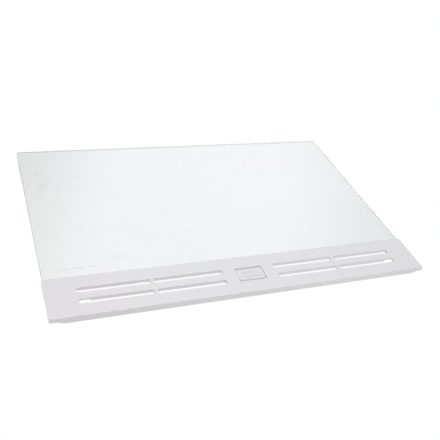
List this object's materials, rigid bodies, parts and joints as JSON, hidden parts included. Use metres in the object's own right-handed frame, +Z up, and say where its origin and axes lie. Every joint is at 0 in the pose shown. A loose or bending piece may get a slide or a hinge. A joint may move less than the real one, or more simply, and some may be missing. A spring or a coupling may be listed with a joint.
{
  "type": "fridge glass shelf",
  "caption": "Rectangular clear glass fridge shelf whose front edge sits in a white plastic trim with air vents, a down-turned lip and a plain centre badge.",
  "frame": {"origin": "under the middle of the shelf, level with the foot of the trim's front lip", "axes": "+X along the trim to the right seen from the front, +Y from the trim to the bare back edge of the glass, +Z up"},
  "size_m": [0.48, 0.316, 0.0086],
  "materials": {
    "shelf_glass": "polished faces, finely ground edges",
    "trim_plastic": "satin, fine moulded grain",
    "badge_plastic": "satin"
  },
  "bodies": {
    "root": {"glass_pane": "shelf_glass", "front_trim": "trim_plastic", "centre_badge": "badge_plastic"}
  },
  "joints": []
}
